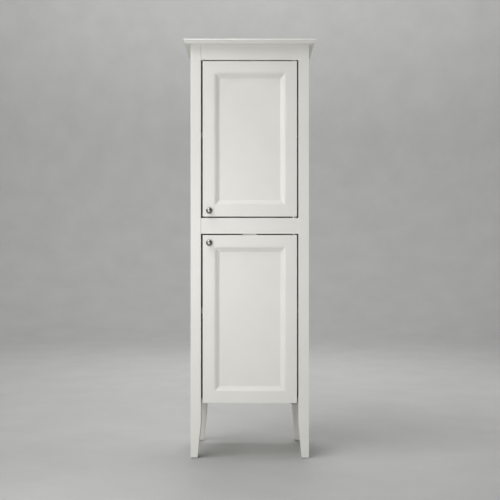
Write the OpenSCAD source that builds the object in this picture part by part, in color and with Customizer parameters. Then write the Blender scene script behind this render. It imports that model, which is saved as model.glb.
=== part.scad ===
// Tall, narrow two-door cabinet on four tapered legs, with a moulded cornice.
// Frame-and-panel carcass in painted timber, two inset doors on pivot hinges.
// Millimetres. +Z is up, the front faces -Y, and the origin is the middle of the footprint on the floor.

/* [Body] */
// Width across the outer faces of the posts
body_w = 440; // [380:5:560]
// Depth from the front faces of the front posts to the rear faces of the rear posts
body_d = 340; // [280:5:450]
// Height of the lower door's bottom edge above the floor
leg_h = 205; // [150:5:280]
// Height of the mid rail between the doors
mid_rail_h = 59.5; // [45:0.5:90]
// Height of the top rail, part of which the cornice moulding covers
frieze_h = 65.5; // [50:0.5:95]

/* [Posts] */
// Width of a front post
post_w = 39; // [32:1:60]
// Depth of a front post
front_post_d = 55; // [40:1:75]
// Width of a rear post
rear_post_w = 48; // [38:1:60]
// Depth of a rear post
rear_post_d = 40; // [34:1:60]
// Height of the tapered stretch at the foot of each post
taper_h = 133; // [80:1:145]
// How much each inner face of a post is cut back at the floor
taper_in = 12; // [5:0.5:16]
// Diameter of the nylon glide under each post
glide_d = 18; // [12:1:24]
// Thickness of a glide below the post
glide_t = 2.5; // [1.5:0.5:5]
// Diameter of a glide's nail
glide_nail_d = 3; // [2:0.5:4]
// Length of a glide's nail
glide_nail_l = 14; // [8:1:25]

/* [Rails] */
// Thickness of the front rails
rail_t = 22; // [18:1:28]
// How far the front rails lie behind the posts' faces
rail_recess = 1.5; // [0.5:0.5:3]
// Thickness of the side and rear rails
side_rail_t = 18; // [15:1:22]
// How far the side rails lie inside the outer faces of the posts
side_inset = 3; // [1:0.5:6]
// Height of the bottom rails
base_rail_h = 75; // [55:1:100]
// How far the bottom rails reach below the bottom board
base_drop = 15; // [10:1:25]
// Length of a rail's tenon
tenon_l = 15; // [8:1:20]
// Thickness of a rail's tenon
tenon_t = 8; // [6:0.5:10]
// Shoulder above and below a tenon
tenon_shoulder = 8; // [4:1:12]

/* [Panels and boards] */
// Thickness of the side, back and door panels
panel_t = 6; // [4:0.5:8]
// Depth of the grooves that hold the panels
groove_depth = 8; // [5:0.5:10]
// Thickness of the divider board and the bottom board
board_t = 18; // [15:1:25]
// Thickness of a shelf
shelf_t = 17; // [12:1:25]
// Height of the upper shelf's top above the upper door's bottom edge
upper_shelf_up = 313; // [150:1:420]
// Height of the lower shelf's top above the lower door's bottom edge
lower_shelf_up = 348; // [150:1:450]
// Side of the square battens under the boards
cleat_s = 15; // [10:1:20]

/* [Shelf pins] */
// Diameter of a shelf pin
pin_d = 5; // [4:0.5:7]
// Length of a shelf pin inside the post
pin_in = 10; // [8:1:14]
// Length of a shelf pin under the shelf
pin_out = 9; // [6:1:12]
// Diameter of a shelf pin's collar
pin_collar_d = 8; // [7:0.5:12]
// Thickness of a shelf pin's collar
pin_collar_t = 1.5; // [1:0.1:2]
// Distance between the holes of a row for shelf pins
pin_pitch = 32; // [25:1:50]
// Distance from a post's face at the doors or back panel to its pin holes
pin_set = 14; // [10:1:18]

/* [Doors] */
// Height of the upper door
upper_door_h = 578; // [450:1:720]
// Height of the lower door
lower_door_h = 624.5; // [450:0.5:720]
// Thickness of a door
door_t = 20; // [18:1:25]
// How far a door's face lies behind the posts' faces
door_recess = 1; // [0.5:0.5:2]
// Gap above and below each door
door_gap = 4.5; // [4:0.5:7]
// Gap beside a door on its free side
free_gap = 6; // [4:0.5:9]
// Gap beside a door on its hinged side
hinge_gap = 5; // [5:0.5:9]
// Width of a stile and height of a rail
stile_w = 43; // [36:1:70]
// Width of the moulding around a door's panel
moulding_w = 18.5; // [15:0.5:26]
// Depth of a door's panel behind its frame's face
panel_sink = 10; // [7:0.5:10]

/* [Pivot hinges] */
// Distance from a door's hinged edge to its pivot
pivot_in = 11; // [9:0.5:14]
// Diameter of a pivot pin
pivot_d = 6; // [4:0.5:8]
// Radial clearance of a pivot pin in its bush
pivot_clear = 0.05; // [0.02:0.01:0.1]
// Outer diameter of a pivot bush
bush_d = 10; // [9:0.5:12]
// Depth of a pivot bush in the wood
bush_l = 14; // [10:1:18]
// Diameter of a bush's flange
flange_d = 14; // [12:0.5:18]
// Thickness of a bush's flange
flange_t = 1.5; // [1:0.1:1.5]
// Length of a pivot pin inside its bush
pivot_reach = 11; // [8:1:16]
// Length of a pivot pin inside the piece that holds it
pivot_hold = 22; // [15:1:30]
// Thickness of the hinge plate under the bottom board
plate_t = 2.5; // [2:0.5:4]
// Width of the hinge plate
plate_w = 26; // [20:1:30]
// Gap between the hinge plate and the lower door
plate_gap = 3; // [3:0.5:5]

/* [Cornice] */
// How far the cornice board reaches out from the posts
cornice_out = 25; // [15:1:40]
// Thickness of the cornice board
cornice_t = 8; // [6:0.5:20]
// Height of the ovolo moulding under the cornice board
ovolo_h = 10; // [8:0.5:30]
// Set-back of the ovolo's top from the cornice board's edge
ovolo_back = 1.5; // [1:0.5:4]
// How far the ovolo's round face curves in towards its foot
ovolo_in = 9; // [5:0.5:10]

/* [Knobs and catches] */
// Diameter of a knob
knob_d = 24; // [18:1:32]
// How far a knob stands out from its door
knob_out = 22; // [18:1:24]
// Diameter of a knob's neck
knob_neck_d = 11; // [9:0.5:15]
// Thickness of a knob's cap
knob_cap_t = 9; // [6:0.5:12]
// Distance from a door's free edge to its knob
knob_side = 25; // [20:0.5:30]
// Height of the upper knob above its door's bottom edge
upper_knob_up = 22; // [16:0.5:60]
// Distance of the lower knob below its door's top edge
lower_knob_down = 29; // [16:0.5:60]
// Diameter of a knob's screw
knob_screw_d = 4; // [3:0.5:5]
// Width of a catch's housing
catch_w = 51; // [36:1:60]
// Depth of a catch's housing
catch_d = 14; // [12:0.5:20]
// Height of a catch's housing below its rail
catch_h = 20; // [16:1:30]
// Height of the flange that fixes a catch to its rail
catch_flange_h = 18; // [14:1:30]
// Thickness of a catch's flange
catch_flange_t = 3; // [2:0.5:5]
// Width of a strike plate
strike_w = 40; // [30:1:56]
// Height of a strike plate
strike_h = 14; // [10:1:18]
// Thickness of a strike plate, let in flush with the door's back
strike_t = 1; // [0.8:0.1:1.5]
// Air between a catch and its strike plate
catch_air = 0.3; // [0.2:0.1:1]
// Air between the lower catch's lip and the door's top edge
lip_air = 1.5; // [1:0.1:2.5]

/* [Screws and wall fixing] */
// Diameter of a wood screw
screw_d = 3.5; // [3:0.5:5]
// Length of a wood screw
screw_l = 15; // [12:1:17]
// Diameter of a wood screw's head
screw_head_d = 7; // [6:0.5:9]
// Thickness of a wood screw's head
screw_head_t = 2; // [1.5:0.1:2.5]
// Diameter of the two wall-fixing holes in the rear top rail
wall_hole_d = 5.5; // [4.5:0.5:8]
// Distance between the wall-fixing holes
wall_hole_spacing = 240; // [160:10:300]
// Clearance between pieces that slide together when assembled
slack = 0.1; // [0.05:0.05:0.3]

/* [Hidden] */
$fn = 64;
paint = "#EAE8E0";
inside = "#DEDBD2";
steel = "#A9ABAE";
nylon = "#F2F1EC";

// Heights of the pieces, from the floor up
lower_door_z = leg_h;
mid_z = lower_door_z + lower_door_h + door_gap;
mid_top = mid_z + mid_rail_h;
upper_door_z = mid_top + door_gap;
frieze_z = upper_door_z + upper_door_h + door_gap;
post_top = frieze_z + frieze_h;
bottom_board_z = leg_h - plate_gap;
base_z = bottom_board_z - base_drop;
divider_z = mid_top - board_t;
upper_shelf_z = upper_door_z + upper_shelf_up - shelf_t;
lower_shelf_z = lower_door_z + lower_shelf_up - shelf_t;

// Places across and through the cabinet
half_w = body_w / 2;
front_y = -(body_d - cornice_out) / 2;
back_y = front_y + body_d;
front_in = half_w - post_w;
rear_in = half_w - rear_post_w;
side_front_y = front_y + front_post_d;
side_back_y = back_y - rear_post_d;
rail_y = front_y + rail_recess;
rail_back_y = rail_y + rail_t;
rail_in = half_w - side_inset - side_rail_t;
panel_gap = panel_t + 2 * slack;
side_panel_x = half_w - side_inset - (side_rail_t + panel_t) / 2;
rear_panel_y = back_y - (side_rail_t + panel_t) / 2;

// Doors, their pivots and the room that they swing in
door_left = -front_in + free_gap;
door_right = front_in - hinge_gap;
door_w = door_right - door_left;
door_front_y = front_y + door_recess;
door_back_y = door_front_y + door_t;
pivot_x = door_right - pivot_in;
pivot_y = door_front_y + door_t / 2;
swing_r = sqrt(pow(pivot_in, 2) + pow(door_t / 2, 2));
board_front_y = pivot_y + swing_r + 1.5;
groove_y = door_front_y + panel_sink;
strike_z_drop = 3;
knob_x = door_left + knob_side;
knob_bore = 11;

module box(low, high) {
    translate(low) cube(high - low);
}

// A rod along Z from one height to another
module rod(d, z0, z1) {
    translate([0, 0, z0]) cylinder(d = d, h = z1 - z0);
}

// ---- Rails and their tenons ----

// A rail along X between two posts, as its body or as its two tenons grown by a clearance
module cross_rail(inner, y0, t, z0, h) {
    box([-inner, y0, z0], [inner, y0 + t, z0 + h]);
}

module cross_tenons(inner, y0, t, z0, h, grow) {
    mid_y = y0 + t / 2;
    for (side = [-1, 1])
        box([min(side * inner, side * (inner + tenon_l + grow)), mid_y - tenon_t / 2 - grow,
             z0 + tenon_shoulder - grow],
            [max(side * inner, side * (inner + tenon_l + grow)), mid_y + tenon_t / 2 + grow,
             z0 + h - tenon_shoulder + grow]);
}

module side_tenons(side, z0, h, grow) {
    mid_x = side * (rail_in + side_rail_t / 2);
    box([mid_x - tenon_t / 2 - grow, side_front_y - tenon_l - grow, z0 + tenon_shoulder - grow],
        [mid_x + tenon_t / 2 + grow, side_back_y + tenon_l + grow, z0 + h - tenon_shoulder + grow]);
}

// The groove cutters, as slabs that are the panels grown by the slack
module side_panel(side, z0, z1, grow) {
    box([side * side_panel_x - (side > 0 ? panel_t : 0) - grow,
         side_front_y - groove_depth + 1 - grow, z0 - groove_depth + 1 - grow],
        [side * side_panel_x + (side > 0 ? 0 : panel_t) + grow,
         side_back_y + groove_depth - 1 + grow, z1 + groove_depth - 1 + grow]);
}

module back_panel(z0, z1, grow) {
    box([-rear_in - groove_depth + 1 - grow, rear_panel_y - grow, z0 - groove_depth + 1 - grow],
        [rear_in + groove_depth - 1 + grow, rear_panel_y + panel_t + grow, z1 + groove_depth - 1 + grow]);
}

module all_panels(grow) {
    for (side = [-1, 1]) {
        side_panel(side, mid_top, frieze_z, grow);
        side_panel(side, base_z + base_rail_h, mid_z, grow);
    }
    back_panel(mid_top, frieze_z, grow);
    back_panel(base_z + base_rail_h, mid_z, grow);
}

module all_tenons(grow) {
    cross_tenons(front_in, rail_y, rail_t, mid_z, mid_rail_h, grow);
    cross_tenons(front_in, rail_y, rail_t, frieze_z, frieze_h, grow);
    cross_tenons(rear_in, back_y - side_rail_t, side_rail_t, base_z, base_rail_h, grow);
    cross_tenons(rear_in, back_y - side_rail_t, side_rail_t, mid_z, mid_rail_h, grow);
    cross_tenons(rear_in, back_y - side_rail_t, side_rail_t, frieze_z, frieze_h, grow);
    for (side = [-1, 1]) {
        side_tenons(side, base_z, base_rail_h, grow);
        side_tenons(side, mid_z, mid_rail_h, grow);
        side_tenons(side, frieze_z, frieze_h, grow);
    }
}

// ---- Posts ----

// A straight post whose two inner faces taper towards the floor. sx and sy point to the cabinet's outside.
module post(w, d, sx, sy) {
    outer_x = sx * half_w;
    outer_y = sy < 0 ? front_y : back_y;
    difference() {
        intersection() {
            translate([0, max(outer_y, outer_y - sy * d), 0]) rotate([90, 0, 0]) linear_extrude(d)
                polygon([[outer_x, glide_t], [outer_x, post_top], [outer_x - sx * w, post_top],
                         [outer_x - sx * w, taper_h], [outer_x - sx * (w - taper_in), glide_t]]);
            translate([min(outer_x, outer_x - sx * w), 0, 0]) rotate([90, 0, 90]) linear_extrude(w)
                polygon([[outer_y, glide_t], [outer_y, post_top], [outer_y - sy * d, post_top],
                         [outer_y - sy * d, taper_h], [outer_y - sy * (d - taper_in), glide_t]]);
        }
        all_tenons(slack);
        all_panels(slack);
        pin_holes();
        glide_nails();
    }
}

module front_left_post() { color(paint) post(post_w, front_post_d, -1, -1); }
module front_right_post() { color(paint) post(post_w, front_post_d, 1, -1); }
module rear_left_post() { color(paint) post(rear_post_w, rear_post_d, -1, 1); }
module rear_right_post() { color(paint) post(rear_post_w, rear_post_d, 1, 1); }

// Middle of a tapered foot, where its glide goes
function foot_x(w) = half_w - (w - taper_in) / 2;

module at_feet() {
    for (sx = [-1, 1]) {
        translate([sx * foot_x(post_w), front_y + (front_post_d - taper_in) / 2, 0]) children();
        translate([sx * foot_x(rear_post_w), back_y - (rear_post_d - taper_in) / 2, 0]) children();
    }
}

module glide_nails() {
    at_feet() rod(glide_nail_d, glide_t - 1, glide_t + glide_nail_l);
}

module foot_glides() {
    color(nylon) at_feet() {
        rod(glide_d, 0, glide_t);
        rod(glide_nail_d, glide_t / 2, glide_t + glide_nail_l);
    }
}

// ---- Rails ----

module frieze_rail() {
    color(paint) difference() {
        union() {
            cross_rail(front_in, rail_y, rail_t, frieze_z, frieze_h);
            cross_tenons(front_in, rail_y, rail_t, frieze_z, frieze_h, 0);
        }
        top_bush_holes();
        screw_holes();
    }
}

module mid_rail() {
    color(paint) difference() {
        union() {
            cross_rail(front_in, rail_y, rail_t, mid_z, mid_rail_h);
            cross_tenons(front_in, rail_y, rail_t, mid_z, mid_rail_h, 0);
        }
        top_bush_holes();
        bottom_pin_holes();
        screw_holes();
    }
}

module rear_rail(z0, h) {
    difference() {
        union() {
            cross_rail(rear_in, back_y - side_rail_t, side_rail_t, z0, h);
            cross_tenons(rear_in, back_y - side_rail_t, side_rail_t, z0, h, 0);
        }
        all_panels(slack);
    }
}

module rear_top_rail() {
    color(paint) difference() {
        rear_rail(frieze_z, frieze_h);
        for (side = [-1, 1])
            translate([side * wall_hole_spacing / 2, back_y + 1, frieze_z + frieze_h / 2])
                rotate([90, 0, 0]) cylinder(d = wall_hole_d, h = side_rail_t + 2);
    }
}

module rear_mid_rail() { color(paint) rear_rail(mid_z, mid_rail_h); }
module rear_bottom_rail() { color(paint) rear_rail(base_z, base_rail_h); }

module side_rail(side, z0, h) {
    difference() {
        union() {
            box([min(side * rail_in, side * (rail_in + side_rail_t)), side_front_y, z0],
                [max(side * rail_in, side * (rail_in + side_rail_t)), side_back_y, z0 + h]);
            side_tenons(side, z0, h, 0);
        }
        all_panels(slack);
    }
}

module left_top_rail() { color(paint) side_rail(-1, frieze_z, frieze_h); }
module left_mid_rail() { color(paint) side_rail(-1, mid_z, mid_rail_h); }
module left_bottom_rail() { color(paint) side_rail(-1, base_z, base_rail_h); }
module right_top_rail() { color(paint) side_rail(1, frieze_z, frieze_h); }
module right_mid_rail() { color(paint) side_rail(1, mid_z, mid_rail_h); }
module right_bottom_rail() { color(paint) side_rail(1, base_z, base_rail_h); }

// ---- Panels ----

module left_upper_panel() { color(paint) side_panel(-1, mid_top, frieze_z, 0); }
module left_lower_panel() { color(paint) side_panel(-1, base_z + base_rail_h, mid_z, 0); }
module right_upper_panel() { color(paint) side_panel(1, mid_top, frieze_z, 0); }
module right_lower_panel() { color(paint) side_panel(1, base_z + base_rail_h, mid_z, 0); }
module upper_back_panel() { color(inside) back_panel(mid_top, frieze_z, 0); }
module lower_back_panel() { color(inside) back_panel(base_z + base_rail_h, mid_z, 0); }

// ---- Boards and shelves ----

// A board notched round the four posts: the outline of its right half, front to back, and its mirror image
module notched_board(y0, z0, t) {
    half = [[front_in - slack, y0], [front_in - slack, side_front_y + slack],
            [rail_in - slack, side_front_y + slack], [rail_in - slack, side_back_y - slack],
            [rear_in - slack, side_back_y - slack], [rear_in - slack, back_y - side_rail_t - slack]];
    translate([0, 0, z0]) linear_extrude(t)
        polygon(concat(half, [for (i = [len(half) - 1:-1:0]) [-half[i][0], half[i][1]]]));
}

module divider_board() { color(inside) notched_board(rail_back_y, divider_z, board_t); }

module bottom_board() {
    color(inside) difference() {
        notched_board(board_front_y, bottom_board_z, board_t);
        screw_holes();
    }
}

module upper_shelf() { color(inside) notched_board(board_front_y, upper_shelf_z, shelf_t); }
module lower_shelf() { color(inside) notched_board(board_front_y, lower_shelf_z, shelf_t); }

module board_cleats() {
    color(inside)
        for (side = [-1, 1], top = [divider_z, bottom_board_z])
            box([side > 0 ? rail_in - cleat_s : -rail_in, side_front_y + slack, top - cleat_s],
                [side > 0 ? rail_in : cleat_s - rail_in, side_back_y - slack, top]);
}

// Each shelf rests on four pins. Their rows have one spare hole above and one below.
module at_shelf_pins(z) {
    for (side = [0, 1])
        mirror([side, 0, 0]) {
            translate([front_in, side_front_y - pin_set, z]) rotate([0, 90, 0]) children();
            translate([rear_in, side_back_y + pin_set, z]) rotate([0, 90, 0]) children();
        }
}

module pin_holes() {
    for (z = [upper_shelf_z, lower_shelf_z], step = [-1:1])
        at_shelf_pins(z - pin_d / 2 + step * pin_pitch) rod(pin_d, -1, pin_in);
}

module shelf_pins() {
    color(steel)
        for (z = [upper_shelf_z, lower_shelf_z])
            at_shelf_pins(z - pin_d / 2) {
                rod(pin_d, -pin_out, pin_in);
                intersection() {
                    rod(pin_collar_d, -pin_collar_t, 0);
                    translate([-pin_d / 2, -pin_collar_d, -pin_collar_t])
                        cube([pin_collar_d + pin_d, 2 * pin_collar_d, pin_collar_t]);
                }
            }
}

// ---- Cornice ----

// A board whose long edges are half-round, along X. w is from edge to edge.
module half_round_slab(w, l, t) {
    rotate([90, 0, 90]) translate([0, 0, -l / 2]) linear_extrude(l) {
        translate([t / 2 - w / 2, 0]) circle(d = t);
        translate([w / 2 - t / 2, 0]) circle(d = t);
        square([w - t, t], center = true);
    }
}

module cornice_board() {
    w = body_w + 2 * cornice_out;
    d = body_d + cornice_out;
    board_mid_z = post_top + cornice_t / 2;
    color(paint) intersection() {
        // The rear edge is square, so the half-round one is pushed out past the back
        translate([0, (back_y + cornice_t + front_y - cornice_out) / 2, board_mid_z])
            half_round_slab(d + cornice_t, w + 2, cornice_t);
        translate([0, (back_y + front_y) / 2, board_mid_z]) rotate([0, 0, 90])
            half_round_slab(w, 2 * d, cornice_t);
        box([-w, front_y - cornice_out - 1, post_top - 1], [w, back_y, post_top + cornice_t + 1]);
    }
}

// The ovolo's section: out from the face, and up from its foot. Its round is a flat arc under a small lip.
ovolo_out = cornice_out - ovolo_back;
ovolo_turn = 40;
ovolo_lip = 0.8;
ovolo_section = concat(
    [[0, 0]],
    [for (a = [0:5:ovolo_turn]) [ovolo_out - ovolo_in * (1 - sin(a) / sin(ovolo_turn)),
                                 (ovolo_h - ovolo_lip) * (1 - cos(a)) / (1 - cos(ovolo_turn))]],
    [[ovolo_out, ovolo_h], [0, ovolo_h]]);
moulding_foot = post_top - ovolo_h;

// The mouldings are mitred at the front corners. Between the posts the front one is packed out to the rail.
module cornice_front_moulding() {
    far = ovolo_out + 1;
    color(paint) {
        intersection() {
            translate([-half_w - far, front_y, moulding_foot]) rotate([90, 0, 90])
                linear_extrude(2 * (half_w + far)) mirror([1, 0]) polygon(ovolo_section);
            translate([0, 0, moulding_foot - 1]) linear_extrude(ovolo_h + 2)
                polygon([[-half_w, front_y], [half_w, front_y],
                         [half_w + far, front_y - far], [-half_w - far, front_y - far]]);
        }
        box([slack - front_in, front_y - 1, moulding_foot], [front_in - slack, rail_y, post_top]);
    }
}

module cornice_side_moulding(side) {
    far = ovolo_out + 1;
    intersection() {
        translate([side * half_w, back_y, moulding_foot]) rotate([90, 0, 0]) linear_extrude(body_d + far)
            mirror([side > 0 ? 0 : 1, 0]) polygon(ovolo_section);
        translate([0, 0, moulding_foot - 1]) linear_extrude(ovolo_h + 2)
            polygon([[side * half_w, front_y], [side * half_w, back_y + 1],
                     [side * (half_w + far), back_y + 1], [side * (half_w + far), front_y - far]]);
    }
}

module cornice_left_moulding() { color(paint) cornice_side_moulding(-1); }
module cornice_right_moulding() { color(paint) cornice_side_moulding(1); }

// ---- Pivot hinges ----

// Every bottom pivot is a pin fixed in the mid rail or the hinge plate, in a flanged bush in the door.
// Every top pivot is a pin fixed in the door, in a flanged bush in the rail above.
module at_pivot(z) {
    translate([pivot_x, pivot_y, z]) children();
}

// The collar takes up the gap that the bush's flange leaves
function collar_t(gap) = gap - flange_t - slack;

module bottom_pin_holes() { at_pivot(mid_top) rod(pivot_d, -pivot_hold, 1); }

module top_bush_holes() {
    for (z = [mid_z, frieze_z])
        at_pivot(z) rod(bush_d, -1, bush_l);
}

module bottom_pivot_pins() {
    color(steel) {
        at_pivot(mid_top) {
            rod(pivot_d, -pivot_hold, door_gap + pivot_reach);
            rod(flange_d, 0, collar_t(door_gap));
        }
        at_pivot(bottom_board_z) {
            rod(pivot_d, -plate_t, plate_gap + pivot_reach);
            rod(flange_d, 0, collar_t(plate_gap));
        }
    }
}

module bush() {
    difference() {
        union() {
            rod(bush_d, 0, bush_l);
            rod(flange_d, -flange_t, 0);
        }
        rod(pivot_d + 2 * pivot_clear, -flange_t - 1, bush_l - 1);
    }
}

module top_pivot_bushes() {
    color(nylon)
        for (z = [mid_z, frieze_z])
            at_pivot(z) bush();
}

// The plate's round nose carries the pin, and its wider tail is screwed to the bottom board
module hinge_plate() {
    nose_w = plate_w - 8;
    tail_y = pivot_y + plate_w / 2;
    color(steel) difference() {
        translate([0, 0, bottom_board_z - plate_t]) linear_extrude(plate_t) {
            translate([pivot_x, pivot_y]) circle(d = nose_w);
            translate([pivot_x - nose_w / 2, pivot_y]) square([nose_w, plate_w / 2]);
            translate([pivot_x - plate_w / 2, tail_y])
                square([plate_w, plate_screw_ys[1] + plate_edge - tail_y]);
        }
        at_pivot(bottom_board_z) rod(pivot_d, -plate_t - 1, 1);
        screw_holes();
    }
}

// ---- Magnetic catches and wood screws ----

// The screws' heads bear on the hinge plate's underside and on the catches' flanges
plate_edge = 9;
plate_screw_ys = [board_front_y + plate_edge, board_front_y + 3 * plate_edge];

module at_screws() {
    for (y = plate_screw_ys)
        translate([pivot_x, y, bottom_board_z - plate_t]) children();
    for (z = [mid_z, frieze_z], side = [-1, 1])
        translate([side * catch_w / 4, rail_back_y + catch_flange_t, z + catch_flange_h / 2])
            rotate([90, 0, 0]) children();
}

module screw_holes() {
    at_screws() rod(screw_d, -1, screw_l);
}

module wood_screws() {
    color(steel) at_screws() difference() {
        union() {
            rod(screw_d, -screw_head_t / 2, screw_l);
            rod(screw_head_d, -screw_head_t, 0);
        }
        for (turn = [0, 90])
            rotate([0, 0, turn]) translate([-screw_head_d / 4, -0.5, -screw_head_t - 1])
                cube([screw_head_d / 2, 1, 2]);
    }
}

magnet_d = 9;
magnet_h = 10;
magnet_w = 34;
pole_t = 2;
catch_front_y = door_back_y + catch_air;
lip_front_y = rail_y + 3;

// The magnet and its two pole plates, which lie in the housing's mouth, grown by a clearance
module catch_magnet(z, grow) {
    top = z - strike_z_drop;
    box([-magnet_w / 2 - grow, catch_front_y, top - magnet_h - grow],
        [magnet_w / 2 + grow, catch_front_y + magnet_d + grow, top + grow]);
}

// Only the lower catch has a lip, which reaches forward over the door's top edge
module catch_housings() {
    color(nylon) difference() {
        union() {
            for (z = [mid_z, frieze_z]) {
                box([-catch_w / 2, catch_front_y, z - catch_h], [catch_w / 2, catch_front_y + catch_d, z - 0.5]);
                box([-catch_w / 2, rail_back_y, z - 2],
                    [catch_w / 2, rail_back_y + catch_flange_t, z + catch_flange_h]);
                // A ledge joins the housing and its flange, whichever lies further back
                box([-catch_w / 2, rail_back_y, z - 2],
                    [catch_w / 2, max(catch_front_y + catch_d, rail_back_y + catch_flange_t), z + 1]);
            }
            box([-catch_w / 2, lip_front_y, mid_z - door_gap + lip_air],
                [catch_w / 2, catch_front_y + 1, mid_z - 0.5]);
        }
        for (z = [mid_z, frieze_z]) {
            catch_magnet(z, slack);
            // The cut that parts the housing's face at its middle
            box([-0.5, catch_front_y - 1, z - catch_h - 1], [0.5, catch_front_y + 1.5, z - 4]);
        }
        // The cut that parts the lip
        box([-0.5, lip_front_y - 1, mid_z - door_gap], [0.5, lip_front_y + 6, mid_z]);
        screw_holes();
    }
}

module catch_magnets() {
    color("#5E6064")
        for (z = [mid_z, frieze_z])
            difference() {
                catch_magnet(z, 0);
                // The magnet lies a little behind the edges of its pole plates
                box([-magnet_w / 2 - 1, catch_front_y - 1, z - strike_z_drop - magnet_h + pole_t],
                    [magnet_w / 2 + 1, catch_front_y + 0.6, z - strike_z_drop - pole_t]);
            }
}

// ---- Doors ----

module door_stile(z0, h, side) {
    x0 = side < 0 ? door_left : door_right - stile_w;
    difference() {
        box([x0, door_front_y, z0], [x0 + stile_w, door_back_y, z0 + h]);
        door_panel(z0, h, slack);
        // The groove runs the whole length of the stile, and the rails' tenons fill its ends
        box([door_left + stile_w - groove_depth, groove_y - slack, z0 - 1],
            [door_right - stile_w + groove_depth, groove_y + panel_t + slack, z0 + h + 1]);
        door_bores(z0, h);
    }
}

module door_rail(z0) {
    box([door_left + stile_w, door_front_y, z0], [door_right - stile_w, door_back_y, z0 + stile_w]);
    box([door_left + stile_w - groove_depth + slack, groove_y, z0],
        [door_right - stile_w + groove_depth - slack, groove_y + panel_t, z0 + stile_w]);
}

module door_top_rail(z0, h) {
    difference() {
        door_rail(z0 + h - stile_w);
        door_panel(z0, h, slack);
        door_strike(z0, h, 0);
    }
}

module door_bottom_rail(z0, h) {
    difference() {
        door_rail(z0);
        door_panel(z0, h, slack);
    }
}

module door_panel(z0, h, grow) {
    held = groove_depth - 1 + grow;
    box([door_left + stile_w - held, groove_y - grow, z0 + stile_w - held],
        [door_right - stile_w + held, groove_y + panel_t + grow, z0 + h - stile_w + held]);
}

// Bores for the bottom bush, the top pin and the knob's screw
module door_bores(z0, h) {
    at_pivot(z0) rod(bush_d, -1, bush_l);
    at_pivot(z0 + h) rod(pivot_d, -pivot_hold, 1);
    for (z = [upper_door_z + upper_knob_up, lower_door_z + lower_door_h - lower_knob_down])
        translate([knob_x, door_back_y + 1, z]) rotate([90, 0, 0]) cylinder(d = knob_screw_d, h = door_t + 2);
}

// The moulding's section: in from the frame's edge, and back from the frame's face.
// A step back, a round that steepens, a ledge and a straight slope down to the panel.
quirk = 1.2;
round_w = 0.46 * moulding_w;
round_d = 0.5 * panel_sink;
ledge_w = 1.2;
moulding_lip = 0.5;
mitre_slack = 0.06;
moulding_section = concat(
    [[0, quirk]],
    [for (a = [0:10:80]) [quirk / 2 + round_w * sin(a), quirk + round_d * (1 - cos(a))]],
    [[quirk / 2 + round_w + ledge_w, quirk + 0.85 * round_d],
     [moulding_w, panel_sink - moulding_lip], [moulding_w, panel_sink], [0, panel_sink]]);

// One straight length of moulding with both ends mitred, along X from 0, with the frame's edge at z = 0
module moulding_length(l) {
    intersection() {
        rotate([90, 0, 90]) linear_extrude(l)
            polygon([for (p = moulding_section) [p[1], p[0]]]);
        rotate([90, 0, 0]) translate([0, 0, -panel_sink - 1]) linear_extrude(panel_sink + 2)
            polygon([[mitre_slack, 0], [l - mitre_slack, 0],
                     [l - mitre_slack - moulding_w - 1, moulding_w + 1],
                     [mitre_slack + moulding_w + 1, moulding_w + 1]]);
    }
}

module door_mouldings(z0, h) {
    in_w = door_w - 2 * stile_w;
    in_h = h - 2 * stile_w;
    translate([door_left + stile_w, door_front_y, z0 + stile_w]) {
        moulding_length(in_w);
        translate([in_w, 0, in_h]) rotate([0, 180, 0]) moulding_length(in_w);
        translate([0, 0, in_h]) rotate([0, 90, 0]) moulding_length(in_h);
        translate([in_w, 0, 0]) rotate([0, -90, 0]) moulding_length(in_h);
    }
}

module door_strike(z0, h, grow) {
    top = z0 + h + door_gap - strike_z_drop - 2;
    high = min(top, z0 + h - 1);
    box([-strike_w / 2 - grow, door_back_y - strike_t, high - strike_h - grow],
        [strike_w / 2 + grow, door_back_y + grow, high + grow]);
}

module knob(z) {
    neck = knob_neck_d / 2;
    cap = knob_d / 2;
    under = knob_out - knob_cap_t;
    translate([knob_x, door_front_y, z]) rotate([90, 0, 0]) difference() {
        rotate_extrude() polygon(concat(
            [[0, 0], [neck + 2, 0], [neck + 2, 1], [neck, 3], [neck, under - 3], [neck + 2, under - 0.8],
             [cap - 1.5, under]],
            [for (a = [0:15:75]) [cap - 1.5 + 1.5 * sin(a), under + 1.5 - 1.5 * cos(a)]],
            [for (a = [0:10:90]) [cap - 5 + 5 * cos(a), knob_out - 4.5 + 3.3 * sin(a)]],
            [[0, knob_out]]));
        translate([0, 0, -1]) cylinder(d = knob_screw_d, h = knob_bore + 1);
    }
}

// A machine screw from inside the door, with a domed head on its back
module knob_screw(z) {
    translate([knob_x, door_back_y, z]) rotate([90, 0, 0]) difference() {
        union() {
            rod(knob_screw_d, -0.5, door_t + knob_bore - 1);
            intersection() {
                rod(2 * knob_screw_d, -2.4, 0);
                translate([0, 0, 2.6]) sphere(r = 5);
            }
        }
        for (turn = [0, 90])
            rotate([0, 0, turn]) translate([-2, -0.5, -4]) cube([4, 1, 2.8]);
    }
}

module door_top_pin(z0, h) {
    at_pivot(z0 + h) rod(pivot_d, -pivot_hold, door_gap + pivot_reach);
}

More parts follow.
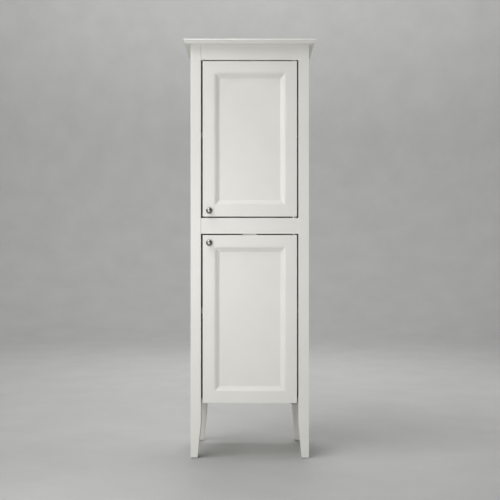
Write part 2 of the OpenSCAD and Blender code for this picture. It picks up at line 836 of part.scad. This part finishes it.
module upper_door_left_stile() { color(paint) door_stile(upper_door_z, upper_door_h, -1); }
module upper_door_right_stile() { color(paint) door_stile(upper_door_z, upper_door_h, 1); }
module upper_door_top_rail() { color(paint) door_top_rail(upper_door_z, upper_door_h); }
module upper_door_bottom_rail() { color(paint) door_bottom_rail(upper_door_z, upper_door_h); }
module upper_door_panel() { color(paint) door_panel(upper_door_z, upper_door_h, 0); }
module upper_door_mouldings() { color(paint) door_mouldings(upper_door_z, upper_door_h); }
module upper_door_top_pin() { color(steel) door_top_pin(upper_door_z, upper_door_h); }
module upper_door_bush() { color(nylon) at_pivot(upper_door_z) bush(); }
module upper_door_strike_plate() { color(steel) door_strike(upper_door_z, upper_door_h, 0); }
module upper_knob() { color(steel) knob(upper_door_z + upper_knob_up); }
module upper_knob_screw() { color(steel) knob_screw(upper_door_z + upper_knob_up); }

module lower_door_left_stile() { color(paint) door_stile(lower_door_z, lower_door_h, -1); }
module lower_door_right_stile() { color(paint) door_stile(lower_door_z, lower_door_h, 1); }
module lower_door_top_rail() { color(paint) door_top_rail(lower_door_z, lower_door_h); }
module lower_door_bottom_rail() { color(paint) door_bottom_rail(lower_door_z, lower_door_h); }
module lower_door_panel() { color(paint) door_panel(lower_door_z, lower_door_h, 0); }
module lower_door_mouldings() { color(paint) door_mouldings(lower_door_z, lower_door_h); }
module lower_door_top_pin() { color(steel) door_top_pin(lower_door_z, lower_door_h); }
module lower_door_bush() { color(nylon) at_pivot(lower_door_z) bush(); }
module lower_door_strike_plate() { color(steel) door_strike(lower_door_z, lower_door_h, 0); }
module lower_knob() { color(steel) knob(lower_door_z + lower_door_h - lower_knob_down); }
module lower_knob_screw() { color(steel) knob_screw(lower_door_z + lower_door_h - lower_knob_down); }

front_left_post();
front_right_post();
rear_left_post();
rear_right_post();
frieze_rail();
mid_rail();
rear_top_rail();
rear_mid_rail();
rear_bottom_rail();
left_top_rail();
left_mid_rail();
left_bottom_rail();
right_top_rail();
right_mid_rail();
right_bottom_rail();
left_upper_panel();
left_lower_panel();
right_upper_panel();
right_lower_panel();
upper_back_panel();
lower_back_panel();
divider_board();
bottom_board();
board_cleats();
upper_shelf();
lower_shelf();
shelf_pins();
foot_glides();
cornice_board();
cornice_front_moulding();
cornice_left_moulding();
cornice_right_moulding();
bottom_pivot_pins();
top_pivot_bushes();
hinge_plate();
wood_screws();
catch_housings();
catch_magnets();
upper_door_left_stile();
upper_door_right_stile();
upper_door_top_rail();
upper_door_bottom_rail();
upper_door_panel();
upper_door_mouldings();
upper_door_top_pin();
upper_door_bush();
upper_door_strike_plate();
upper_knob();
upper_knob_screw();
lower_door_left_stile();
lower_door_right_stile();
lower_door_top_rail();
lower_door_bottom_rail();
lower_door_panel();
lower_door_mouldings();
lower_door_top_pin();
lower_door_bush();
lower_door_strike_plate();
lower_knob();
lower_knob_screw();
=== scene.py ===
"""A tall, narrow painted cabinet with two framed doors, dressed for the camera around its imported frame.

Metres, +Z up, the front faces -Y. The sections follow the cabinet as it is put together.
"""

import math

import bmesh
import bpy
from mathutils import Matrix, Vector


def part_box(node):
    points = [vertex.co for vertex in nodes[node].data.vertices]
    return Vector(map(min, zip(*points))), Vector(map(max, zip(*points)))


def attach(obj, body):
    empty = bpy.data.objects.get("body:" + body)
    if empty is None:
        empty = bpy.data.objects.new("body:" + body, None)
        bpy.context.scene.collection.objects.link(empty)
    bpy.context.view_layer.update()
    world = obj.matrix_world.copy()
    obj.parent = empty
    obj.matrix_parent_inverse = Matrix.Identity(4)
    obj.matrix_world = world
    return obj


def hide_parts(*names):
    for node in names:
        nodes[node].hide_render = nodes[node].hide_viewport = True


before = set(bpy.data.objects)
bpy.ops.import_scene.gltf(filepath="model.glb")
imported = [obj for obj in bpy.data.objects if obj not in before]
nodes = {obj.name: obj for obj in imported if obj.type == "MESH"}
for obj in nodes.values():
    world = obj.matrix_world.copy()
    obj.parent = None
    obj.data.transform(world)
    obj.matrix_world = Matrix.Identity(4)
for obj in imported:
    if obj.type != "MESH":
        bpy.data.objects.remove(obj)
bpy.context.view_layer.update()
MM = 0.001

# ---- The paint ----
# The whole cabinet is sprayed with a warm off-white satin lacquer over sanded primer. The eye sees a soft
# sheen, a faint orange-peel where the wet coat pulled together, and a tone that drifts a little.


def linear(hex_colour):
    """An sRGB hex colour as linear RGBA."""
    channels = [int(hex_colour[i : i + 2], 16) / 255 for i in (1, 3, 5)]
    return (*(c / 12.92 if c <= 0.04045 else ((c + 0.055) / 1.055) ** 2.4 for c in channels), 1)


def add(tree, kind, settings=(), links=()):
    """Adds a node, sets its properties, inputs or ramp stops, and links its inputs from other sockets."""
    node = tree.nodes.new(kind)
    for name, value in dict(settings).items():
        if name == "stops":
            for element, (position, colour) in zip(node.color_ramp.elements, value):
                element.position, element.color = position, colour
        elif isinstance(name, str) and hasattr(node, name):
            setattr(node, name, value)
        else:
            node.inputs[name].default_value = value
    for name, source in dict(links).items():
        tree.links.new(source, node.inputs[name])
    return node


def new_material(name):
    """An empty material, its tree, and the place of each point on the piece."""
    material = bpy.data.materials.new(name)
    material.use_nodes = True
    tree = material.node_tree
    tree.nodes.clear()
    return material, tree, add(tree, "ShaderNodeTexCoord").outputs["Object"]


# How far the roughness of a sprayed coat drifts either way
GLOSS_DRIFT = 0.05


def satin_paint(name, light, shade, roughness):
    """Sprayed satin lacquer over primed timber, drifting between a light and a shaded tone."""
    material, tree, place = new_material(name)
    # Clouds about 110 mm across, where one pass of the spray gun lies over the last
    clouds = add(
        tree,
        "ShaderNodeTexNoise",
        {"Scale": 1 / (110 * MM), "Detail": 3.0, "Roughness": 0.5},
        {"Vector": place},
    )
    # Specks about 2.5 mm across, where the primer shows through by a shade
    specks = add(
        tree,
        "ShaderNodeTexNoise",
        {"Scale": 1 / (2.5 * MM), "Detail": 2.0, "Roughness": 0.6},
        {"Vector": place},
    )
    drift = add(
        tree,
        "ShaderNodeMix",
        {"data_type": "FLOAT", "Factor": 0.25},
        {"A": clouds.outputs["Fac"], "B": specks.outputs["Fac"]},
    )
    tone = add(
        tree,
        "ShaderNodeValToRGB",
        {"stops": [(0.35, linear(shade)), (0.65, linear(light))]},
        {"Fac": drift.outputs["Result"]},
    )
    # Orange-peel is 1 to 2 mm across, drawn at 4 mm so that it shows at the camera's distance
    peel = add(
        tree,
        "ShaderNodeTexNoise",
        {"Scale": 1 / (4 * MM), "Detail": 1.5, "Roughness": 0.4},
        {"Vector": place},
    )
    gloss = add(
        tree,
        "ShaderNodeMapRange",
        {"To Min": roughness - GLOSS_DRIFT, "To Max": roughness + GLOSS_DRIFT},
        {"Value": clouds.outputs["Fac"]},
    )
    bump = add(
        tree, "ShaderNodeBump", {"Strength": 0.12, "Distance": 0.2 * MM}, {"Height": peel.outputs["Fac"]}
    )
    shader = add(
        tree,
        "ShaderNodeBsdfPrincipled",
        {"IOR": 1.5},
        {
            "Base Color": tone.outputs["Color"],
            "Roughness": gloss.outputs["Result"],
            "Normal": bump.outputs[0],
        },
    )
    add(tree, "ShaderNodeOutputMaterial", {}, {"Surface": shader.outputs[0]})
    return material


paint = satin_paint("satin_lacquer", "#e8e7e2", "#e5e4df", 0.42)
paint_inside = satin_paint("thin_inside_lacquer", "#dddbd5", "#d6d4cd", 0.5)


def coat(material, *names):
    """Puts one material on CAD nodes."""
    for name in names:
        slots = nodes[name].data.materials
        slots.clear()
        slots.append(material)


# An edge turned by more than this shows as a crisp corner, and a gentler one as part of a curve
CRISP_ANGLE = math.radians(35)
# Points nearer than this are one point, and faces turned by less than this are one face
SAME_POINT, SAME_FACE = 0.01 * MM, math.radians(0.5)
# Steps across one rounded arris
ARRIS_STEPS = 4
# How far an edge may lie inside a plane of the outline and still count as lying on it
OUTLINE_REACH = 0.2 * MM


def geometry_group(name):
    """An empty group for a modifier, with its shape going in."""
    tree = bpy.data.node_groups.new(name, "GeometryNodeTree")
    for way in ("INPUT", "OUTPUT"):
        tree.interface.new_socket("Geometry", in_out=way, socket_type="NodeSocketGeometry")
    return tree, add(tree, "NodeGroupInput").outputs[0]


crisp_corners, shape = geometry_group("crisp_corners")
turn = add(crisp_corners, "GeometryNodeInputMeshEdgeAngle").outputs["Unsigned Angle"]
gentle = add(crisp_corners, "ShaderNodeMath", {"operation": "LESS_THAN", 1: CRISP_ANGLE}, {0: turn})
rounded = add(crisp_corners, "GeometryNodeSetShadeSmooth", {"domain": "FACE"}, {0: shape})
creased = add(
    crisp_corners,
    "GeometryNodeSetShadeSmooth",
    {"domain": "EDGE"},
    {0: rounded.outputs[0], 2: gentle.outputs[0]},
)
add(crisp_corners, "NodeGroupOutput", {}, {0: creased.outputs[0]})


# An edge is marked when at least two of a box's planes hold it, so more than this count
ONE_PLANE = 1.5


def outline_arrises(name, low, high, below=0.0, inset=0.0):
    """Marks the edges on two of a box's planes. Those below a height may lie an inset inside them."""
    tree, shape = geometry_group(name)
    middle = (Vector(low) + Vector(high)) / 2
    half = (Vector(high) - Vector(low)) / 2
    place = add(tree, "GeometryNodeInputPosition")
    height = add(tree, "ShaderNodeSeparateXYZ", {}, {0: place.outputs[0]}).outputs["Z"]
    is_low = add(tree, "ShaderNodeMath", {"operation": "LESS_THAN", 1: below}, {0: height})
    near = add(
        tree,
        "ShaderNodeMath",
        {"operation": "MULTIPLY_ADD", 1: inset, 2: OUTLINE_REACH},
        {0: is_low.outputs[0]},
    )
    offset = add(tree, "ShaderNodeVectorMath", {"operation": "SUBTRACT", 1: middle}, {0: place.outputs[0]})
    reach = add(tree, "ShaderNodeVectorMath", {"operation": "ABSOLUTE"}, {0: offset.outputs[0]})
    inside = add(tree, "ShaderNodeVectorMath", {"operation": "SUBTRACT", 0: half}, {1: reach.outputs[0]})
    axes = add(tree, "ShaderNodeSeparateXYZ", {}, {0: inside.outputs[0]})
    on_plane = [
        add(tree, "ShaderNodeMath", {"operation": "LESS_THAN"}, {0: axis, 1: near.outputs[0]}).outputs[0]
        for axis in axes.outputs
    ]
    two = add(tree, "ShaderNodeMath", {"operation": "ADD"}, {0: on_plane[0], 1: on_plane[1]})
    count = add(tree, "ShaderNodeMath", {"operation": "ADD"}, {0: two.outputs[0], 1: on_plane[2]})
    weight = add(tree, "ShaderNodeMath", {"operation": "GREATER_THAN", 1: ONE_PLANE}, {0: count.outputs[0]})
    marked = add(
        tree,
        "GeometryNodeStoreNamedAttribute",
        {"data_type": "FLOAT", "domain": "EDGE", "Name": "bevel_weight_edge"},
        {"Geometry": shape, "Value": weight.outputs[0]},
    )
    add(tree, "NodeGroupOutput", {}, {0: marked.outputs[0]})
    return tree


def ease_edges(radius, name, arrises):
    """Rounds the marked corners of a CAD node, as sandpaper does before the paint goes on."""
    piece = nodes[name]
    weld = piece.modifiers.new("weld", "WELD")
    weld.merge_threshold = SAME_POINT
    flat = piece.modifiers.new("flat", "DECIMATE")
    flat.decimate_type = "DISSOLVE"
    flat.angle_limit = SAME_FACE
    piece.modifiers.new("arrises", "NODES").node_group = arrises
    bevel = piece.modifiers.new("eased", "BEVEL")
    bevel.width = radius
    bevel.segments = ARRIS_STEPS
    bevel.limit_method = "WEIGHT"
    piece.modifiers.new("crisp", "NODES").node_group = crisp_corners
    normals = piece.modifiers.new("normals", "WEIGHTED_NORMAL")
    normals.keep_sharp = True


# ---- Posts and rails ----
# Four timber posts run from the cornice to the floor and taper on their inner faces near it. The rails are
# tenoned between them. Sandpaper eases the posts' corners to 2 mm and the rails' to 1.5 mm.
POST_ROUND, RAIL_ROUND = 2 * MM, 1.5 * MM
# An edge of a leg's taper has its middle below this height, and up to this far inside the post's outline
TAPER_BELOW, TAPER_INSET = 100 * MM, 6.5 * MM
posts = ["front_left_post", "front_right_post", "rear_left_post", "rear_right_post"]
cross_rails = ["frieze_rail", "mid_rail", "rear_top_rail", "rear_mid_rail", "rear_bottom_rail"]
side_rails = [f"{side}_{level}_rail" for side in ("left", "right") for level in ("top", "mid", "bottom")]
coat(paint, *posts, *cross_rails, *side_rails)
for name in posts:
    ease_edges(POST_ROUND, name, outline_arrises(f"{name}_arrises", *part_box(name), TAPER_BELOW, TAPER_INSET))
for name in cross_rails + side_rails:
    ease_edges(RAIL_ROUND, name, outline_arrises(f"{name}_arrises", *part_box(name)))

# ---- Panels, boards and shelves ----
# The sides and back are flat board panels in grooves. The divider, the bottom and the two shelves are notched
# boards with corners eased to 1.5 mm. They and the back have the thinner, flatter coat of the inside.
BOARD_ROUND = 1.5 * MM
side_panels = [f"{side}_{level}_panel" for side in ("left", "right") for level in ("upper", "lower")]
boards = ["divider_board", "bottom_board", "board_cleats", "upper_shelf", "lower_shelf"]
back_panels = ["upper_back_panel", "lower_back_panel"]
coat(paint, *side_panels)
coat(paint_inside, *boards, *back_panels)
for name in ("divider_board", "bottom_board", "upper_shelf", "lower_shelf"):
    ease_edges(BOARD_ROUND, name, outline_arrises(f"{name}_arrises", *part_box(name)))

# ---- Cornice ----
# A thin board with a half-round nose lies on the posts. Three lengths of ovolo, mitred at the two front
# corners and glued, fill the corner under it. All are sprayed with the posts.
cornice = ["cornice_board", "cornice_front_moulding", "cornice_left_moulding", "cornice_right_moulding"]
coat(paint, *cornice)

# ---- Doors ----
# Each door is a frame of two stiles and two rails round a sunk flat panel, with a mitred moulding planted
# in the corner between them. The frame is glued and sanded flush before it is sprayed, so only the arrises
# of its outline are rounded, and no joint shows on its face.
DOOR_ROUND = 1.5 * MM
for door in ("upper_door", "lower_door"):
    frame_parts = [f"{door}_{part}" for part in ("left_stile", "right_stile", "top_rail", "bottom_rail")]
    coat(paint, *frame_parts, f"{door}_panel", f"{door}_mouldings")
    outline = outline_arrises(f"{door}_arrises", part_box(frame_parts[0])[0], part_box(frame_parts[1])[1])
    for name in frame_parts:
        ease_edges(DOOR_ROUND, name, outline)

# ---- Knobs ----
# Turned metal knobs with a flat foot, a waisted neck and a domed cap with a ring cut in it, each held by a
# screw from inside the door. The satin nickel plating gives a soft grey shine over the lathe's fine rings.


def lathe(name, profile, turns):
    """A mesh turned round Z from a profile of radius and height. A radius of 0 is a point on the axis."""
    turned = bmesh.new()
    angles = [math.tau * i / turns for i in range(turns)]
    rings = [
        [turned.verts.new((r * math.cos(a), r * math.sin(a), z)) for a in (angles if r else [0.0])]
        for r, z in profile
    ]
    for low, high in zip(rings, rings[1:]):
        for i in range(turns):
            j = (i + 1) % turns
            corners = [low[i % len(low)], low[j % len(low)], high[j % len(high)], high[i % len(high)]]
            turned.faces.new(list(dict.fromkeys(corners))).smooth = True
    bmesh.ops.recalc_face_normals(turned, faces=turned.faces)
    mesh = bpy.data.meshes.new(name)
    turned.to_mesh(mesh)
    turned.free()
    return mesh


satin_nickel, tree, place = new_material("satin_nickel_plating")
# Patches about 6 mm across, dulled by handling
handling = add(
    tree, "ShaderNodeTexNoise", {"Scale": 1 / (6 * MM), "Detail": 4.0, "Roughness": 0.6}, {"Vector": place}
)
tint = add(
    tree,
    "ShaderNodeValToRGB",
    {"stops": [(0.3, linear("#8d8b87")), (0.7, linear("#a5a39f"))]},
    {"Fac": handling.outputs["Fac"]},
)
gloss = add(tree, "ShaderNodeMapRange", {"To Min": 0.3, "To Max": 0.42}, {"Value": handling.outputs["Fac"]})
# The lathe's rings are 0.2 mm apart, drawn at 1 mm so that they show. A ring texture repeats every pi / 10
lathe_rings = add(
    tree,
    "ShaderNodeTexWave",
    {"wave_type": "RINGS", "rings_direction": "Z", "Scale": math.pi / 10 / (1 * MM), "Distortion": 0.0},
    {"Vector": place},
)
bump = add(
    tree, "ShaderNodeBump", {"Strength": 0.15, "Distance": 0.05 * MM}, {"Height": lathe_rings.outputs["Fac"]}
)
shader = add(
    tree,
    "ShaderNodeBsdfPrincipled",
    {"Metallic": 1.0},
    {"Base Color": tint.outputs["Color"], "Roughness": gloss.outputs["Result"], "Normal": bump.outputs[0]},
)
add(tree, "ShaderNodeOutputMaterial", {}, {"Surface": shader.outputs[0]})
coat(satin_nickel, "upper_knob", "lower_knob")

# Radii, depths and heights of the turned shape, up from the back of the foot
BORE_R, BORE_DEEP = 2.05 * MM, 11 * MM
FOOT_R, FOOT_T, FOOT_CHAMFER = 7.1 * MM, 1.2 * MM, 0.3 * MM
NECK_R, FOOT_FLARE, CAP_FLARE = 5.4 * MM, 1.7 * MM, 5.0 * MM
CAP_UNDER, RIM_R, DOME_H = 11.5 * MM, 1.2 * MM, 9 * MM
RING_R, RING_W, RING_DEEP = 11 * MM, 0.35 * MM, 0.3 * MM
# Steps round the lathe, along the neck, and in degrees round the rim and over the dome
TURNS, NECK_STEPS, RIM_STEP, DOME_STEP = 72, 12, 15, 3
for door in ("upper", "lower"):
    low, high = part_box(f"{door}_knob")
    cap_r = (high[0] - low[0]) / 2
    knob_out = high[1] - low[1]
    dome_foot = knob_out - DOME_H
    profile = [(0, BORE_DEEP), (BORE_R, BORE_DEEP), (BORE_R, 0)]
    profile += [(FOOT_R - FOOT_CHAMFER, 0), (FOOT_R, FOOT_CHAMFER)]
    # The neck flares as a cube towards the foot, and more suddenly, as a fourth power, towards the cap
    for t in (i / NECK_STEPS for i in range(NECK_STEPS + 1)):
        neck_r = NECK_R + FOOT_FLARE * (1 - t) ** 3 + CAP_FLARE * t**4
        profile.append((neck_r, FOOT_T + (CAP_UNDER - FOOT_T) * t))
    # The rim is a quarter round from the cap's underside to its widest point
    for a in (math.radians(d) for d in range(RIM_STEP - 90, 1, RIM_STEP)):
        profile.append((cap_r - RIM_R + RIM_R * math.cos(a), CAP_UNDER + RIM_R + RIM_R * math.sin(a)))
    # The dome is half an ellipsoid, less the cut ring
    for a in (math.radians(d) for d in range(0, 90, DOME_STEP)):
        r = cap_r * math.cos(a)
        ring = RING_DEEP * math.exp(-(((r - RING_R) / RING_W) ** 2))
        profile.append((r, dome_foot + DOME_H * math.sin(a) - ring))
    profile.append((0, knob_out))
    knob = bpy.data.objects.new(f"{door}_knob_turned", lathe(f"{door}_knob_turned", profile, TURNS))
    bpy.context.collection.objects.link(knob)
    knob.location = ((low[0] + high[0]) / 2, high[1], (low[2] + high[2]) / 2)
    knob.rotation_euler = (math.radians(90), 0, 0)
    knob.data.materials.append(satin_nickel)
    knob.modifiers.new("crisp", "NODES").node_group = crisp_corners
    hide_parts(f"{door}_knob")
    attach(knob, f"{door}_door")

# ---- Pivot hinges, pins and screws ----
# Zinc-plated steel pins turn in off-white nylon bushes at the ends of each door's right-hand stile, and the
# screws, shelf pins and strike plates are plated too. Zinc looks dull silver with faint crystal patches.
zinc, tree, place = new_material("zinc_plated_steel")
# The crystals are far finer, drawn at 2.5 mm so that they show
spangle = add(tree, "ShaderNodeTexVoronoi", {"Scale": 1 / (2.5 * MM)}, {"Vector": place})
tint = add(
    tree,
    "ShaderNodeValToRGB",
    {"stops": [(0.1, linear("#8e9296")), (0.8, linear("#b4b8bb"))]},
    {"Fac": spangle.outputs["Distance"]},
)
gloss = add(
    tree, "ShaderNodeMapRange", {"To Min": 0.25, "To Max": 0.45}, {"Value": spangle.outputs["Distance"]}
)
shader = add(
    tree,
    "ShaderNodeBsdfPrincipled",
    {"Metallic": 1.0},
    {"Base Color": tint.outputs["Color"], "Roughness": gloss.outputs["Result"]},
)
add(tree, "ShaderNodeOutputMaterial", {}, {"Surface": shader.outputs[0]})
steel_pieces = ["shelf_pins", "bottom_pivot_pins", "hinge_plate", "wood_screws"]
for door in ("upper", "lower"):
    steel_pieces += [f"{door}_door_top_pin", f"{door}_door_strike_plate", f"{door}_knob_screw"]
coat(zinc, *steel_pieces)

# ---- Bushes, catches and glides ----
# Small pieces of moulded nylon: bushes pressed into bores, catch housings screwed on, and glides nailed under
# the feet. The mould leaves them smooth, off-white and slightly cloudy.
nylon, tree, place = new_material("moulded_nylon")
# Clouds about 4 mm across, where the melt flowed
cloud = add(
    tree, "ShaderNodeTexNoise", {"Scale": 1 / (4 * MM), "Detail": 3.0, "Roughness": 0.5}, {"Vector": place}
)
tint = add(
    tree,
    "ShaderNodeValToRGB",
    {"stops": [(0.3, linear("#e2e0d8")), (0.7, linear("#ebe9e3"))]},
    {"Fac": cloud.outputs["Fac"]},
)
bump = add(tree, "ShaderNodeBump", {"Strength": 0.1, "Distance": 0.2 * MM}, {"Height": cloud.outputs["Fac"]})
shader = add(
    tree,
    "ShaderNodeBsdfPrincipled",
    {"Roughness": 0.5, "IOR": 1.53},
    {"Base Color": tint.outputs["Color"], "Normal": bump.outputs[0]},
)
add(tree, "ShaderNodeOutputMaterial", {}, {"Surface": shader.outputs[0]})
coat(nylon, "foot_glides", "top_pivot_bushes", "upper_door_bush", "lower_door_bush", "catch_housings")

# ---- Catch magnets ----
# A block of pressed ferrite between two steel pole plates sits in each catch housing. It is dark grey, and
# its grain makes it faintly speckled.
ferrite, tree, place = new_material("pressed_ferrite")
# The grain is far finer, drawn at 1.5 mm so that it shows
speckle = add(
    tree, "ShaderNodeTexNoise", {"Scale": 1 / (1.5 * MM), "Detail": 3.0, "Roughness": 0.6}, {"Vector": place}
)
tint = add(
    tree,
    "ShaderNodeValToRGB",
    {"stops": [(0.3, linear("#3a3b3d")), (0.7, linear("#55575a"))]},
    {"Fac": speckle.outputs["Fac"]},
)
shader = add(
    tree,
    "ShaderNodeBsdfPrincipled",
    {"Roughness": 0.5, "Metallic": 0.6},
    {"Base Color": tint.outputs["Color"]},
)
add(tree, "ShaderNodeOutputMaterial", {}, {"Surface": shader.outputs[0]})
coat(ferrite, "catch_magnets")

# ---- Studio ----
# A plain pale paper sweep: a flat round floor that curves up into a wall on every side, so that paper lies
# behind every view. Soft square lights stand inside it, most of them above and in front, on the left.
FLOOR_R, SWEEP_R, WALL_TOP = 4.5, 2.0, 5.5
# A ring inside the floor keeps its shading level under the cabinet
LEVEL_R = 1.5
# Degrees in one step of the curve
SWEEP_STEP = 10
profile = [(0, 0), (LEVEL_R, 0)]
for a in (math.radians(d) for d in range(0, 91, SWEEP_STEP)):
    profile.append((FLOOR_R + SWEEP_R * math.sin(a), SWEEP_R - SWEEP_R * math.cos(a)))
profile.append((FLOOR_R + SWEEP_R, WALL_TOP))
floor_mesh = lathe("studio_sweep", profile, TURNS)
floor = bpy.data.objects.new("studio_sweep", floor_mesh)
bpy.context.collection.objects.link(floor)
paper, tree, place = new_material("pale_grey_paper")
# The paper is matt, and uneven in tone in blotches about 250 mm across
blotches = add(
    tree, "ShaderNodeTexNoise", {"Scale": 1 / (250 * MM), "Detail": 4.0, "Roughness": 0.6}, {"Vector": place}
)
tint = add(
    tree,
    "ShaderNodeValToRGB",
    {"stops": [(0.3, linear("#acacaa")), (0.7, linear("#b2b2b0"))]},
    {"Fac": blotches.outputs["Fac"]},
)
shader = add(tree, "ShaderNodeBsdfPrincipled", {"Roughness": 0.85}, {"Base Color": tint.outputs["Color"]})
add(tree, "ShaderNodeOutputMaterial", {}, {"Surface": shader.outputs[0]})
floor_mesh.materials.append(paper)


def soft_light(name, place, aim, size, watts):
    """A square area light at a place, turned to its aim."""
    data = bpy.data.lights.new(name, "AREA")
    data.shape = "SQUARE"
    data.size = size
    data.energy = watts
    light = bpy.data.objects.new(name, data)
    bpy.context.collection.objects.link(light)
    light.location = place
    light.rotation_euler = (Vector(aim) - Vector(place)).to_track_quat("-Z", "Y").to_euler()
    light.visible_camera = False


waist = (0, -0.15, 0.9)
soft_light("overhead_left_wide", (-1.2, -1.2, 2.9), aim=waist, size=2.6, watts=28)
soft_light("overhead_left", (-1.1, -0.7, 3.0), aim=waist, size=1.5, watts=28)
soft_light("front_left", (-1.2, -2.1, 1.4), aim=waist, size=0.5, watts=3)
soft_light("front_near", (-0.35, -1.6, 0.8), aim=(0, -0.15, 0.8), size=0.7, watts=5.5)
soft_light("front_low", (-0.5, -1.9, 0.5), aim=(0, -0.15, 0.7), size=1.4, watts=10)
# One light washes the wall behind the cabinet, and two weaker ones show its back and its right side
soft_light("wall_wash", (0, 2.5, 5.4), aim=(0, 6.5, 1.5), size=3.0, watts=250)
soft_light("back", (0, 2.6, 2.2), aim=(0, 0, 0.8), size=1.2, watts=20)
soft_light("right", (2.7, 0.5, 1.7), aim=(0, 0, 0.8), size=1.2, watts=20)
# The last of the light comes evenly from all round
AIR_STRENGTH = 0.01
world = bpy.data.worlds.new("studio_air")
world.use_nodes = True
air = world.node_tree.nodes["Background"]
air.inputs["Color"].default_value = linear("#f2f2f2")
air.inputs["Strength"].default_value = AIR_STRENGTH
scene = bpy.context.scene
scene.world = world
scene.view_settings.view_transform = "Standard"

# ---- Camera ----
# The camera stands level and square to the front, a few steps back and a little above half the cabinet's
# height. A slight shift of the lens puts the cabinet where it belongs in the frame.
LENS, LENS_SHIFT = 65.9, -0.01
EYE_SIDE, EYE_BACK, EYE_HEIGHT = 1 * MM, 3.4, 0.7926
front_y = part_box("front_left_post")[0][1]
camera_data = bpy.data.cameras.new("front_camera")
camera_data.lens = LENS
camera_data.shift_y = LENS_SHIFT
camera = bpy.data.objects.new("front_camera", camera_data)
bpy.context.collection.objects.link(camera)
camera.location = (EYE_SIDE, front_y - EYE_BACK, EYE_HEIGHT)
camera.rotation_euler = (math.radians(90), 0, 0)
scene.camera = camera
